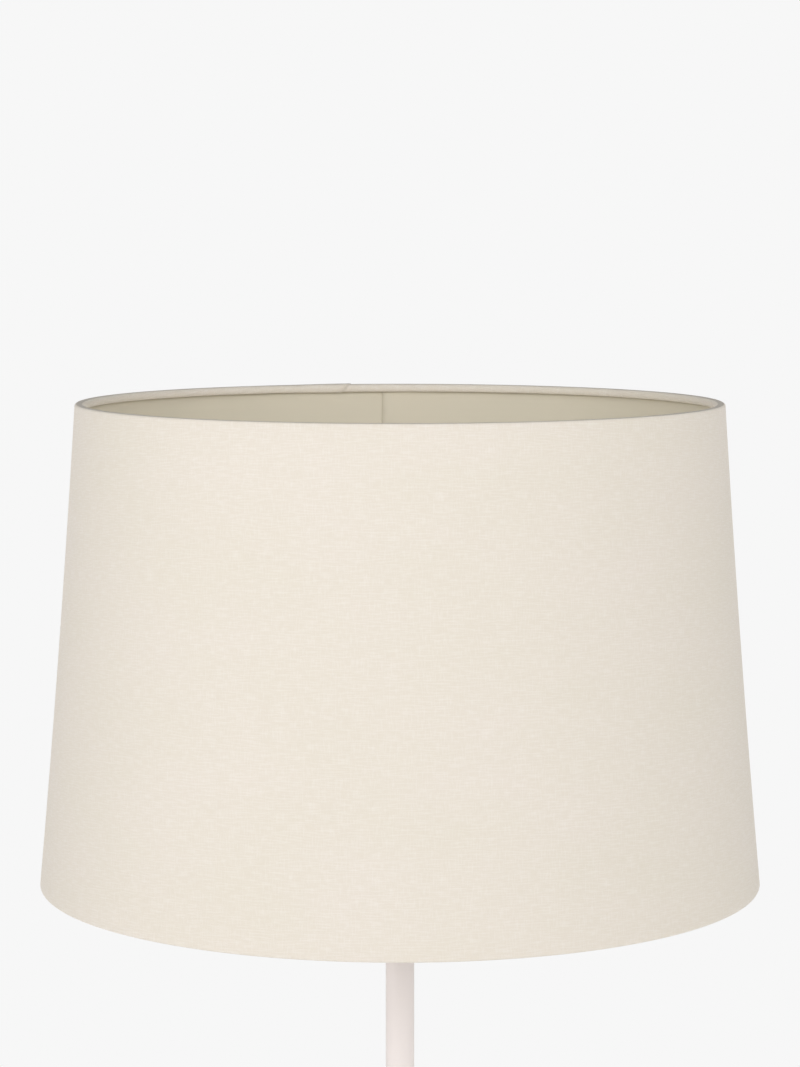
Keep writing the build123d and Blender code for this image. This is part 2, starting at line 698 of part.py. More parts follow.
with BuildPart() as block_screws:
    with BuildSketch(block_base.offset(BLOCK_HEIGHT - 2.0)):
        with GridLocations(0, TERMINAL_SPACING, 1, 2):
            Circle(1.6)
    extrude(amount=1.4)
    with BuildSketch(block_base.offset(BLOCK_HEIGHT - 0.6)):
        with GridLocations(0, TERMINAL_SPACING, 1, 2):
            Rectangle(2.6, 0.5)
    extrude(amount=-0.6, mode=Mode.SUBTRACT)
save(block_screws, "terminal_screws")

FLEX_TOP_Z = CAP_BOTTOM_Z + 6.5
with BuildPart() as flex:
    with BuildLine(upright_plane(BLOCK_AZIMUTH, 0, 0)) as flex_route:
        Line((0, FLEX_TOP_Z), (0, BLOCK_ENTRY_Z + FLEX_BEND_R))
        JernArc((0, BLOCK_ENTRY_Z + FLEX_BEND_R), tangent=(0, -1), radius=FLEX_BEND_R, arc_size=90)
    with BuildSketch(Plane.XY.offset(FLEX_TOP_Z)):
        Circle(FLEX_R)
    sweep(path=flex_route.line)
save(flex, "stem_flex")

# Above the flex's end its two cores part and pass under the switch bar to the terminals.
with BuildPart() as cores:
    for side in (-1, 1):
        with BuildLine(Plane.YZ) as core_route:
            FilletPolyline(
                (side * (CORE_R + SLIP), FLEX_TOP_Z),
                (side * (CORE_R + SLIP), FLEX_TOP_Z + 1.5),
                (side * TERMINAL_Y, FLEX_TOP_Z + 3.3),
                (side * TERMINAL_Y, TERMINAL_TIP_Z),
                radius=(1.2, 2.0),
            )
        with BuildSketch(Plane(core_route.line @ 0, z_dir=core_route.line % 0)):
            Circle(CORE_R)
        sweep(path=core_route.line)
save(cores, "holder_cores")

# ---------------------------------------------------------------------------------------------- hinge bolts
BOLT_HEAD_R = 5.4
BOLT_HEAD_T = 3.4
NUT_ACROSS_R = 5.0
NUT_T = 4.5
CLEVIS_HALF = EAR_GAP / 2 + EAR_T
with BuildPart() as bolts:
    for azimuth in LEG_AZIMUTHS:
        middle = upright_plane(azimuth, PIVOT_R, PIVOT_Z)
        with BuildSketch(middle.offset(-CLEVIS_HALF)):
            Circle(BOLT_R)
        extrude(amount=2 * CLEVIS_HALF + NUT_T)
        with BuildSketch(middle.offset(-CLEVIS_HALF)):
            Circle(BOLT_HEAD_R)
        extrude(amount=-BOLT_HEAD_T, taper=22)
        with BuildSketch(middle.offset(-CLEVIS_HALF - BOLT_HEAD_T)):
            RegularPolygon(radius=2.0, side_count=6, major_radius=False)
        extrude(amount=2.2, mode=Mode.SUBTRACT)
save(bolts, "hinge_bolts")

with BuildPart() as nuts:
    for azimuth in LEG_AZIMUTHS:
        middle = upright_plane(azimuth, PIVOT_R, PIVOT_Z)
        with BuildSketch(middle.offset(CLEVIS_HALF)):
            RegularPolygon(radius=NUT_ACROSS_R, side_count=6, major_radius=False)
            Circle(BOLT_R + SLIP, mode=Mode.SUBTRACT)
        extrude(amount=NUT_T)
        with BuildSketch(middle.offset(CLEVIS_HALF + NUT_T)):
            Circle(NUT_ACROSS_R - 0.3)
        extrude(amount=3.2, taper=26)
save(nuts, "hinge_nuts")

with BuildPart() as washers:
    for azimuth in LEG_AZIMUTHS:
        middle = upright_plane(azimuth, PIVOT_R, PIVOT_Z)
        for side in (-1, 1):
            with BuildSketch(middle.offset(side * EAR_GAP / 2)):
                Circle(WASHER_R)
                Circle(BOLT_R + SLIP, mode=Mode.SUBTRACT)
            extrude(amount=-side * WASHER_T)
save(washers, "hinge_washers")


# ---------------------------------------------------------------------------------------------------- legs
def leg_side_plane(azimuth):
    """The vertical plane of a leg through its hinge bolt: x runs outwards across the leg, y runs down along it."""
    a, s = radians(azimuth), radians(SPLAY)
    return Plane(
        origin=(PIVOT_R * cos(a), PIVOT_R * sin(a), PIVOT_Z),
        x_dir=(cos(s) * cos(a), cos(s) * sin(a), sin(s)),
        z_dir=(-sin(a), cos(a), 0),
    )


def leg_axis(azimuth):
    """The leg's own axis, from its hinge bolt down."""
    a, s = radians(azimuth), radians(SPLAY)
    return Axis(
        (PIVOT_R * cos(a), PIVOT_R * sin(a), PIVOT_Z),
        (sin(s) * cos(a), sin(s) * sin(a), -cos(s)),
    )


def leg_section_plane(azimuth, along):
    """A plane square to the leg, at a distance down it from its hinge bolt."""
    axis = leg_axis(azimuth)
    tangent = (-sin(radians(azimuth)), cos(radians(azimuth)), 0)
    return Plane(origin=axis.position + axis.direction * along, x_dir=tangent, z_dir=axis.direction)


def heel_point(height):
    """A point of the heel that stops the opened leg on the drum's flat, at a height above the hinge bolt, in the
    leg's side plane."""
    reach = PIVOT_R - DRUM_FLAT_R - GAP
    s = radians(SPLAY)
    return (-reach * cos(s) + height * sin(s), -reach * sin(s) - height * cos(s))


def screw_plane(azimuth, side):
    """A plane through a leg's axis at its two screws, facing sideways: side is -1 or 1."""
    return leg_section_plane(azimuth, SCREW_ALONG).rotated((0, side * 90, 0))


HEEL_LOW = 1.5
HEEL_HIGH = 8.5
SCREW_ALONG = 52.0
SCREW_R = 2.0
SCREW_HEAD_R = 3.8
SCREW_SEAT = CUP_R - 0.7
FOOT_TOP = LEG_END - FOOT_CUP_LENGTH + 5
SHAFT_TIP_R = LEG_END_R - 1.5
for number, azimuth in enumerate(LEG_AZIMUTHS, start=1):
    side_plane = leg_side_plane(azimuth)
    axis = leg_axis(azimuth)

    # bracket: a tang between the hub's ears, on a cup that takes the leg's end
    with BuildPart() as bracket:
        with BuildSketch(side_plane):
            Circle(TANG_R)
            with BuildLine():
                Polyline(
                    (TANG_R, 0),
                    (TANG_R, CUP_START + 1),
                    (-TANG_R, CUP_START + 1),
                    (-TANG_R, 0),
                    heel_point(HEEL_LOW),
                    heel_point(HEEL_HIGH),
                    (0, -TANG_R),
                    close=True,
                )
            make_face()
        extrude(amount=TANG_T / 2, both=True)
        with BuildSketch(side_plane):
            with BuildLine():
                Line((0, CUP_START - 2), (7, CUP_START - 2))
                ThreePointArc((7, CUP_START - 2), (12.6, CUP_START + 0.4), (CUP_R, CUP_START + 6))
                Polyline(
                    (CUP_R, CUP_START + 6),
                    (CUP_R, CUP_END - EASED),
                    (CUP_R - EASED, CUP_END),
                    (SPIGOT_R + SLIP, CUP_END),
                    (SPIGOT_R + SLIP, SPIGOT_START),
                    (0, SPIGOT_START),
                    (0, CUP_START - 2),
                )
            make_face()
        revolve(axis=axis)
        with BuildSketch(side_plane.offset(-TANG_T)):
            Circle(BOLT_R + SLIP)
        extrude(amount=2 * TANG_T, mode=Mode.SUBTRACT)
        for side in (-1, 1):
            with BuildSketch(screw_plane(azimuth, side)):
                Circle(SCREW_R + SLIP)
            extrude(amount=CUP_R + 1, mode=Mode.SUBTRACT)
            with BuildSketch(screw_plane(azimuth, side).offset(SCREW_SEAT)):
                Circle(SCREW_HEAD_R + 0.3)
            extrude(amount=2, mode=Mode.SUBTRACT)
    save(bracket, f"leg_{number}_bracket")

    # shaft: a turned, tapered wooden leg with a spigot at the top and a thinner end for the foot
    with BuildPart() as shaft:
        with BuildSketch(side_plane):
            with BuildLine():
                Polyline(
                    (0, SPIGOT_START + SLIP),
                    (SPIGOT_R, SPIGOT_START + SLIP),
                    (SPIGOT_R, CUP_END + SLIP),
                    (LEG_TOP_R, CUP_END + SLIP),
                    (LEG_END_R, FOOT_TOP - SLIP),
                    (SHAFT_TIP_R, FOOT_TOP - SLIP),
                    (SHAFT_TIP_R, LEG_END),
                    (0, LEG_END),
                    close=True,
                )
            make_face()
        revolve(axis=axis)
        for side in (-1, 1):
            with BuildSketch(screw_plane(azimuth, side)):
                Circle(SCREW_R + SLIP)
            extrude(amount=CUP_R + 1, mode=Mode.SUBTRACT)
    save(shaft, f"leg_{number}_shaft")

    # screws: they hold the shaft in the bracket from both sides
    with BuildPart() as screws:
        for side in (-1, 1):
            with BuildSketch(screw_plane(azimuth, side).offset(1.0)):
                Circle(SCREW_R)
            extrude(amount=SCREW_SEAT - 1.0)
            with BuildSketch(screw_plane(azimuth, side).offset(SCREW_SEAT)):
                Circle(SCREW_HEAD_R)
            extrude(amount=2.0, taper=15)
            with BuildSketch(screw_plane(azimuth, side).offset(SCREW_SEAT + 2.0)):
                Rectangle(4.2, 0.9)
                Rectangle(0.9, 4.2)
            extrude(amount=-1.2, mode=Mode.SUBTRACT)
    save(screws, f"leg_{number}_screws")

    # foot: a rubber cup on the shaft's end, cut level with the floor
    with BuildPart() as foot:
        with BuildSketch(side_plane):
            with BuildLine():
                Polyline(
                    (SHAFT_TIP_R + SLIP, FOOT_TOP),
                    (LEG_END_R + 0.8, FOOT_TOP),
                    (FOOT_CUP_R, LEG_REACH - 8),
                    (FOOT_CUP_R, LEG_REACH + 8),
                    (0, LEG_REACH + 8),
                    (0, LEG_END + SLIP),
                    (SHAFT_TIP_R + SLIP, LEG_END + SLIP),
                    close=True,
                )
            make_face()
        revolve(axis=axis)
        split(bisect_by=Plane.XY, keep=Keep.TOP)
    save(foot, f"leg_{number}_foot")
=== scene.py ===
"""The finished tripod floor lamp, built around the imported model: its cloth, lining, timber and light."""

import json
import math

import bmesh
import bpy
from mathutils import Matrix, Vector, noise


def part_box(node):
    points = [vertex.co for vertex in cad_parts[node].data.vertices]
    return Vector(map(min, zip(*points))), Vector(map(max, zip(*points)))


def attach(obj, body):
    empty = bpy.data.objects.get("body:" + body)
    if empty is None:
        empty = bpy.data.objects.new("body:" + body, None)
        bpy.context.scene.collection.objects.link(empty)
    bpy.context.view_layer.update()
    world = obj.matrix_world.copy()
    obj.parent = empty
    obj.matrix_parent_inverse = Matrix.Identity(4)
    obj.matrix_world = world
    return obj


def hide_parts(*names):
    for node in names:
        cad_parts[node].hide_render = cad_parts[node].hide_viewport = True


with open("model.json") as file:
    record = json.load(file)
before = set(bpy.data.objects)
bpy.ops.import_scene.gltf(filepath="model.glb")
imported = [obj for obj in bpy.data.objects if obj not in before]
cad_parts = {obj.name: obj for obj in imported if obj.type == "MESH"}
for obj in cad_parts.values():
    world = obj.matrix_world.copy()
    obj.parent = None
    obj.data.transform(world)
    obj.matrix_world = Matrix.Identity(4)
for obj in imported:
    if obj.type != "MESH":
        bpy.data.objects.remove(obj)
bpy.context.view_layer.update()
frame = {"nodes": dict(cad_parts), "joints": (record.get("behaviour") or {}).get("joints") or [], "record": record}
MM = 0.001
UP = Vector((0, 0, 1))

# ----------------------------------------------------------------------------- sizes from the frame
cover_low, cover_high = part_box("shade_cover")
top_wire_low, top_wire_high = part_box("shade_top_ring")
bottom_wire_low, bottom_wire_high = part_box("shade_bottom_ring")
SHADE_BOTTOM_Z = cover_low.z
SHADE_TOP_Z = cover_high.z
SHADE_BOTTOM_R = cover_high.x
WIRE_R = (top_wire_high.z - top_wire_low.z) / 2
# The middle of each wire, as (radius, height).
TOP_WIRE = (top_wire_high.x - WIRE_R, top_wire_low.z + WIRE_R)
BOTTOM_WIRE = (bottom_wire_high.x - WIRE_R, bottom_wire_low.z + WIRE_R)
# How much the cover's radius falls for each unit of height.
TAPER = (BOTTOM_WIRE[0] - TOP_WIRE[0]) / (TOP_WIRE[1] - BOTTOM_WIRE[1])
WAIST = 1.1 * MM  # how far the sides draw in between the two wires
COVER_T = 0.5 * MM  # the room the cover takes up in the frame
CLOTH_T = 0.36 * MM
LINER_T = 0.5 * MM
ROLL_R = WIRE_R + COVER_T


def wall_radius(z):
    """The cover's outer radius at a height."""
    share = (z - SHADE_BOTTOM_Z) / (SHADE_TOP_Z - SHADE_BOTTOM_Z)
    return SHADE_BOTTOM_R - TAPER * (z - SHADE_BOTTOM_Z) - WAIST * 4 * share * (1 - share)


# ------------------------------------------------------------------------------------------- camera
CAMERA_BACK = 1.942
CAMERA_ABOVE_SHADE = 0.4186  # above the shade's bottom edge
CAMERA_TILT = 0.103  # downwards, in radians
LENS = 105.9  # in millimetres, as the sensor's width is
SENSOR_WIDTH = 36
camera_data = bpy.data.cameras.new("camera")
camera_data.sensor_width = SENSOR_WIDTH
camera_data.lens = LENS
camera = bpy.data.objects.new("camera", camera_data)
camera.location = (0, -CAMERA_BACK, SHADE_BOTTOM_Z + CAMERA_ABOVE_SHADE)
camera.rotation_euler = (math.pi / 2 - CAMERA_TILT, 0, 0)
bpy.context.scene.collection.objects.link(camera)
bpy.context.scene.camera = camera


# ------------------------------------------------------------------------------------ shader groups
# A pattern's vector is in metres, so the scale of each noise is in cells per metre.
MIX_FACTOR, MIX_A, MIX_B, MIX_RESULT = 0, 6, 7, 2  # the colour sockets of a Mix node


def linear(red, green, blue):
    """A colour given in display values from 0 to 255, as the shader's linear colour."""
    shares = (red / 255, green / 255, blue / 255)
    return (*(s / 12.92 if s <= 0.04045 else ((s + 0.055) / 1.055) ** 2.4 for s in shares), 1)


def plug(tree, value, socket):
    """Links a socket, or sets it to a plain value."""
    if isinstance(value, bpy.types.NodeSocket):
        tree.links.new(value, socket)
    else:
        socket.default_value = value


def maths(tree, operation, *values):
    """A Math node with its inputs linked or set."""
    node = tree.nodes.new("ShaderNodeMath")
    node.operation = operation
    for socket, value in zip(node.inputs, values):
        plug(tree, value, socket)
    return node.outputs[0]


def scaled(tree, vector, factors):
    """A vector multiplied along each axis."""
    node = tree.nodes.new("ShaderNodeVectorMath")
    node.operation = "MULTIPLY"
    plug(tree, vector, node.inputs[0])
    plug(tree, factors, node.inputs[1])
    return node.outputs[0]


def noise_of(tree, vector, scale=1.0, detail=2.0, roughness=0.5, distortion=0.0):
    """A noise texture's value."""
    node = tree.nodes.new("ShaderNodeTexNoise")
    plug(tree, vector, node.inputs["Vector"])
    plug(tree, scale, node.inputs["Scale"])
    node.inputs["Detail"].default_value = detail
    node.inputs["Roughness"].default_value = roughness
    node.inputs["Distortion"].default_value = distortion
    return node.outputs[0]


def ranged(tree, value, low, high, to_low=0.0, to_high=1.0):
    """A value mapped from one range to another, and held inside it."""
    node = tree.nodes.new("ShaderNodeMapRange")
    for name, number in (("From Min", low), ("From Max", high), ("To Min", to_low), ("To Max", to_high)):
        node.inputs[name].default_value = number
    plug(tree, value, node.inputs["Value"])
    return node.outputs[0]


def new_group(name, inputs, outputs):
    """An empty shader group with named sockets, and its input and output nodes."""
    group = bpy.data.node_groups.new(name, "ShaderNodeTree")
    for socket_name, kind, default in inputs:
        socket = group.interface.new_socket(socket_name, in_out="INPUT", socket_type=kind)
        if default is not None:
            socket.default_value = default
    for socket_name in outputs:
        group.interface.new_socket(socket_name, in_out="OUTPUT", socket_type="NodeSocketFloat")
    return group, group.nodes.new("NodeGroupInput").outputs, group.nodes.new("NodeGroupOutput").inputs


def ridges(tree, position):
    """A rounded ridge for each whole step of a position."""
    return maths(tree, "ABSOLUTE", maths(tree, "SINE", maths(tree, "MULTIPLY", position, math.pi)))


UNDER = 0.35  # how high a thread stands where it passes under another, as a share of its full height
THREAD_HEIGHT = 0.55
SLUB_HEIGHT = 0.3


def make_weave_group():
    """A fine plain weave with slubs, which are thicker lengths of yarn."""
    group, given, result = new_group(
        "slub_weave",
        [("Vector", "NodeSocketVector", None), ("Threads per metre", "NodeSocketFloat", 2400.0)],
        ["Height", "Slubs", "Drift"],
    )
    counted = group.nodes.new("ShaderNodeVectorMath")
    counted.operation = "SCALE"
    plug(group, given["Vector"], counted.inputs[0])
    plug(group, given["Threads per metre"], counted.inputs["Scale"])
    split = group.nodes.new("ShaderNodeSeparateXYZ")
    plug(group, counted.outputs[0], split.inputs[0])
    checker = group.nodes.new("ShaderNodeTexChecker")
    checker.inputs["Scale"].default_value = 1.0
    plug(group, counted.outputs[0], checker.inputs["Vector"])
    warp_rise = ranged(group, checker.outputs["Fac"], 0, 1, UNDER, 1.0)
    weft_rise = ranged(group, checker.outputs["Fac"], 0, 1, 1.0, UNDER)
    warp = maths(group, "MULTIPLY", ridges(group, split.outputs[0]), warp_rise)
    weft = maths(group, "MULTIPLY", ridges(group, split.outputs[1]), weft_rise)
    threads = maths(group, "MAXIMUM", warp, weft)
    across = noise_of(group, scaled(group, given["Vector"], (110, 1150, 1)), detail=3)
    along = noise_of(group, scaled(group, given["Vector"], (1150, 150, 1)), detail=3)
    across = ranged(group, across, 0.45, 0.75)
    along = ranged(group, along, 0.48, 0.78, 0.0, 0.8)
    slubs = maths(group, "ADD", across, along)
    drift = noise_of(group, scaled(group, given["Vector"], (9, 16, 1)), detail=4, roughness=0.6)
    thread_height = maths(group, "MULTIPLY", threads, THREAD_HEIGHT)
    slub_height = maths(group, "MULTIPLY", slubs, SLUB_HEIGHT)
    plug(group, maths(group, "ADD", thread_height, slub_height), result["Height"])
    plug(group, slubs, result["Slubs"])
    plug(group, drift, result["Drift"])
    return group


def make_grain_group():
    """A fine grain, a slow drift under it and a few marks, for paint, plastics, rubber and ceramic."""
    group, given, result = new_group(
        "fine_grain",
        [("Vector", "NodeSocketVector", None), ("Grains per metre", "NodeSocketFloat", 900.0)],
        ["Grain", "Drift", "Marks"],
    )
    grain = noise_of(group, given["Vector"], given["Grains per metre"], detail=3, roughness=0.6)
    drift = noise_of(group, given["Vector"], 14.0, detail=3)
    marks = noise_of(group, scaled(group, given["Vector"], (60, 60, 420)), detail=2, distortion=0.6)
    plug(group, grain, result["Grain"])
    plug(group, drift, result["Drift"])
    plug(group, ranged(group, marks, 0.62, 0.72), result["Marks"])
    return group


RING_SLANT = 0.02  # how far the growth rings lean along the timber
RING_PACE = 520.0
RING_WANDER = 30.0


def make_timber_group():
    """Beech along Z: growth rings met at a slant, fine streaks, short dark flecks and pores."""
    group, given, result = new_group(
        "timber",
        [("Vector", "NodeSocketVector", None)],
        ["Rings", "Streaks", "Flecks", "Pores"],
    )
    bend = noise_of(group, scaled(group, given["Vector"], (22, 22, 3.2)), detail=4, roughness=0.6)
    split = group.nodes.new("ShaderNodeSeparateXYZ")
    plug(group, given["Vector"], split.inputs[0])
    lean = maths(group, "MULTIPLY", split.outputs[2], RING_SLANT)
    steady = maths(group, "MULTIPLY", maths(group, "ADD", split.outputs[0], lean), RING_PACE)
    bands = maths(group, "ADD", steady, maths(group, "MULTIPLY", bend, RING_WANDER))
    rings = ranged(group, maths(group, "SINE", bands), -1, 1)
    streaks = noise_of(group, scaled(group, given["Vector"], (640, 640, 7)), detail=5, roughness=0.62)
    flecks = noise_of(group, scaled(group, given["Vector"], (1500, 420, 150)), detail=1)
    pores = noise_of(group, scaled(group, given["Vector"], (2600, 2600, 90)), detail=2)
    plug(group, rings, result["Rings"])
    plug(group, ranged(group, streaks, 0.32, 0.68), result["Streaks"])
    plug(group, ranged(group, flecks, 0.63, 0.72), result["Flecks"])
    plug(group, ranged(group, pores, 0.35, 0.75), result["Pores"])
    return group


def make_turning_group():
    """Fine lathe and plating marks on bright metal."""
    group, given, result = new_group(
        "turning_marks",
        [("Vector", "NodeSocketVector", None)],
        ["Lines", "Haze"],
    )
    lines = noise_of(group, scaled(group, given["Vector"], (350, 350, 5200)), detail=2)
    haze = noise_of(group, given["Vector"], 260.0, detail=4, roughness=0.65)
    plug(group, lines, result["Lines"])
    plug(group, haze, result["Haze"])
    return group


WEAVE = make_weave_group()
GRAIN = make_grain_group()
TIMBER = make_timber_group()
TURNING = make_turning_group()


# ---------------------------------------------------------------------------------------- materials
class Finish:
    """A material being made: its tree, its shader, and the few steps that every finish here uses."""

    def __init__(self, name, **settings):
        self.material = bpy.data.materials.new(name)
        self.material.use_nodes = True
        self.tree = self.material.node_tree
        self.shader = self.tree.nodes["Principled BSDF"]
        for socket_name, value in settings.items():
            self.shader.inputs[socket_name.replace("_", " ")].default_value = value

    def coordinates(self, kind="Object"):
        """Where on the piece the surface is, in metres."""
        return self.tree.nodes.new("ShaderNodeTexCoord").outputs[kind]

    def attribute(self, name):
        """A value that the piece's own mesh holds."""
        node = self.tree.nodes.new("ShaderNodeAttribute")
        node.attribute_name = name
        return node.outputs["Vector"]

    def effect(self, group, **values):
        """A shader group with its inputs given by name, as its named outputs."""
        node = self.tree.nodes.new("ShaderNodeGroup")
        node.node_tree = group
        for socket_name, value in values.items():
            plug(self.tree, value, node.inputs[socket_name.replace("_", " ")])
        return node.outputs

    def mix(self, factor, first, second):
        """A colour between two others."""
        node = self.tree.nodes.new("ShaderNodeMix")
        node.data_type = "RGBA"
        plug(self.tree, factor, node.inputs[MIX_FACTOR])
        plug(self.tree, first, node.inputs[MIX_A])
        plug(self.tree, second, node.inputs[MIX_B])
        return node.outputs[MIX_RESULT]

    def colour(self, value):
        """Sets the surface's colour."""
        plug(self.tree, value, self.shader.inputs["Base Color"])

    def roughness(self, mask, low, high):
        """Spreads the roughness between two values, by a mask."""
        plug(self.tree, ranged(self.tree, mask, 0.25, 0.75, low, high), self.shader.inputs["Roughness"])

    def bump(self, height, depth, strength=1.0):
        """Raises the surface by a height, of so many metres at most."""
        node = self.tree.nodes.new("ShaderNodeBump")
        node.inputs["Strength"].default_value = strength
        node.inputs["Distance"].default_value = depth
        plug(self.tree, height, node.inputs["Height"])
        plug(self.tree, node.outputs["Normal"], self.shader.inputs["Normal"])


CROWN_PAINTED_SHADE = 0.5  # how far the top rim's colour goes towards painted shade, for the dim light on its up-facing top


def cloth_finish():
    """Cream slub cloth, with painted shade where the weave sits low and in a band along the top rim's roll."""
    finish = Finish("cover_cloth", Sheen_Weight=0.18, Sheen_Roughness=0.5, Specular_IOR_Level=0.25)
    weave = finish.effect(WEAVE, Vector=finish.coordinates("UV"), Threads_per_metre=2300.0)
    drift = ranged(finish.tree, weave["Drift"], 0.3, 0.7)
    plain = finish.mix(drift, linear(234, 227, 214), linear(237, 229, 219))
    slubs = maths(finish.tree, "MULTIPLY", weave["Slubs"], 0.24)
    slubbed = finish.mix(slubs, plain, linear(247, 242, 234))
    # Painted shade: darker where the weave sits low, between the threads.
    yarn = finish.mix(ranged(finish.tree, weave["Height"], 0.05, 0.5), linear(226, 216, 199), slubbed)
    # Painted shade: a band along the top rim's roll goes towards a dark taupe, for the dim light its up-facing top
    # gets.
    painted_shade_band = maths(finish.tree, "MULTIPLY", finish.attribute("painted_shade_band"), CROWN_PAINTED_SHADE)
    finish.colour(finish.mix(painted_shade_band, yarn, linear(128, 120, 104)))
    finish.roughness(weave["Slubs"], 0.82, 0.7)
    finish.bump(weave["Height"], 0.12 * MM, 0.55)
    return finish.material


def liner_finish():
    """Off-white styrene, drawn opaque; the real sheet is translucent and looks greyish green where no light is
    behind it.
    """
    finish = Finish("liner", Specular_IOR_Level=0.35)
    grain = finish.effect(GRAIN, Vector=finish.coordinates(), Grains_per_metre=700.0)
    finish.colour(finish.mix(grain["Drift"], linear(227, 219, 201), linear(219, 213, 195)))
    finish.roughness(grain["Grain"], 0.42, 0.55)
    finish.bump(grain["Grain"], 0.05 * MM, 0.3)
    return finish.material


def enamel_finish(name, light, dark, grains=1400.0, coat=0.25):
    """Powder coat: a satin film with a fine orange peel."""
    finish = Finish(name, Coat_Weight=coat, Coat_Roughness=0.2, Specular_IOR_Level=0.5)
    grain = finish.effect(GRAIN, Vector=finish.coordinates(), Grains_per_metre=grains)
    finish.colour(finish.mix(grain["Drift"], light, dark))
    finish.roughness(grain["Grain"], 0.33, 0.46)
    finish.bump(grain["Grain"], 0.06 * MM, 0.35)
    return finish.material


def moulded_finish(name, light, dark, rough=(0.22, 0.34), grains=2200.0, peel=0.2):
    """Moulded plastic, rubber or fired clay: a grain, a slow drift of colour, and a few dull marks."""
    finish = Finish(name)
    grain = finish.effect(GRAIN, Vector=finish.coordinates(), Grains_per_metre=grains)
    base = finish.mix(grain["Drift"], light, dark)
    finish.colour(finish.mix(maths(finish.tree, "MULTIPLY", grain["Marks"], 0.25), base, dark))
    finish.roughness(grain["Grain"], *rough)
    finish.bump(grain["Grain"], 0.03 * MM, peel)
    return finish.material


def metal_finish(name, light, dark, rough=(0.2, 0.34)):
    """Bright or plated metal with fine turning marks and a little haze."""
    finish = Finish(name, Metallic=1.0)
    marks = finish.effect(TURNING, Vector=finish.coordinates())
    finish.colour(finish.mix(ranged(finish.tree, marks["Haze"], 0.35, 0.65), light, dark))
    finish.roughness(marks["Haze"], *rough)
    finish.bump(marks["Lines"], 0.02 * MM, 0.25)
    return finish.material


def timber_finish():
    """Pale beech under a whitened matt lacquer."""
    finish = Finish("beech", Coat_Weight=0.12, Coat_Roughness=0.35, Specular_IOR_Level=0.4)
    timber = finish.effect(TIMBER, Vector=finish.attribute("grain"))
    rings = finish.mix(timber["Rings"], linear(222, 200, 177), linear(215, 190, 164))
    streaks = maths(finish.tree, "MULTIPLY", timber["Streaks"], 0.5)
    streaked = finish.mix(streaks, rings, linear(204, 176, 148))
    flecks = maths(finish.tree, "MULTIPLY", timber["Flecks"], 0.55)
    flecked = finish.mix(flecks, streaked, linear(172, 134, 103))
    pores = maths(finish.tree, "MULTIPLY", timber["Pores"], 0.22)
    finish.colour(finish.mix(pores, flecked, linear(192, 164, 138)))
    finish.roughness(timber["Pores"], 0.42, 0.58)
    finish.bump(timber["Pores"], -0.05 * MM, 0.5)
    return finish.material


def opal_finish():
    """Frosted opal glass, which scatters light a little under its surface."""
    finish = Finish("opal_glass", Subsurface_Weight=0.25, Subsurface_Scale=0.004, Coat_Weight=0.3)
    grain = finish.effect(GRAIN, Vector=finish.coordinates(), Grains_per_metre=3000.0)
    finish.colour(finish.mix(grain["Drift"], linear(247, 246, 242), linear(242, 241, 237)))
    finish.roughness(grain["Grain"], 0.28, 0.4)
    finish.bump(grain["Grain"], 0.02 * MM, 0.2)
    return finish.material


CLOTH = cloth_finish()
LINER = liner_finish()
BEECH = timber_finish()
OPAL = opal_finish()
ENAMEL = enamel_finish("pale_enamel", linear(245, 237, 234), linear(242, 233, 230))
WIRE_ENAMEL = enamel_finish("wire_enamel", linear(238, 236, 231), linear(232, 230, 224), grains=2600.0)
HOLDER_WHITE = moulded_finish("holder_white", linear(240, 238, 233), linear(234, 231, 225))
BULB_WHITE = moulded_finish("bulb_white", linear(243, 242, 239), linear(238, 237, 233), (0.4, 0.5))
CERAMIC = moulded_finish("steatite", linear(238, 234, 226), linear(226, 221, 211), (0.5, 0.66), 1200.0)
NYLON = moulded_finish("nylon", linear(238, 235, 226), linear(230, 226, 216), (0.35, 0.48))
TERMINAL = moulded_finish("terminal_nylon", linear(232, 229, 219), linear(222, 218, 206), (0.3, 0.42))
RUBBER = moulded_finish("rubber", linear(150, 145, 141), linear(134, 130, 126), (0.6, 0.78), peel=0.5)
SHEATH = moulded_finish("flex_sheath", linear(238, 236, 231), linear(230, 227, 221), (0.32, 0.45))
CORE = moulded_finish("core_brown", linear(126, 86, 58), linear(112, 74, 48), (0.3, 0.42))
ZINC = metal_finish("zinc_plate", linear(214, 214, 216), linear(196, 197, 201))
PASSIVATED = metal_finish("thread_steel", linear(190, 190, 192), linear(168, 169, 173), (0.3, 0.42))
NICKEL = metal_finish("nickelled_cap", linear(216, 214, 208), linear(200, 197, 190), (0.16, 0.3))
BRASS = metal_finish("brass", linear(226, 196, 130), linear(206, 172, 104), (0.2, 0.36))


# ------------------------------------------------------------------------------------- mesh helpers
TUBE_STEPS = 96
LEG_STEPS = 64
EASE_SEGMENTS = 3
EASE_ANGLE = 30  # an edge sharper than this is eased, in degrees


def profile(bm, points, closed=True):
    """An outline of (radius, height) points in the XZ plane: its vertices and edges, for a spin."""
    verts = [bm.verts.new((radius, 0, height)) for radius, height in points]
    edges = [bm.edges.new(pair) for pair in zip(verts, verts[1:])]
    if closed:
        edges.append(bm.edges.new((verts[-1], verts[0])))
    return verts + edges


def spun(points, steps):
    """A bmesh of a closed outline turned once about Z, with its poles closed."""
    bm = bmesh.new()
    geom = profile(bm, points)
    bmesh.ops.spin(bm, geom=geom, axis=UP, cent=(0, 0, 0), angle=2 * math.pi, steps=steps, use_merge=True)
    bmesh.ops.remove_doubles(bm, verts=bm.verts, dist=0.001 * MM)
    return bm


def arc(centre, radius, start, end, steps):
    """Points of an arc in an outline, in degrees, both ends included."""
    angles = [math.radians(start + (end - start) * i / steps) for i in range(steps + 1)]
    return [(centre[0] + radius * math.cos(a), centre[1] + radius * math.sin(a)) for a in angles]


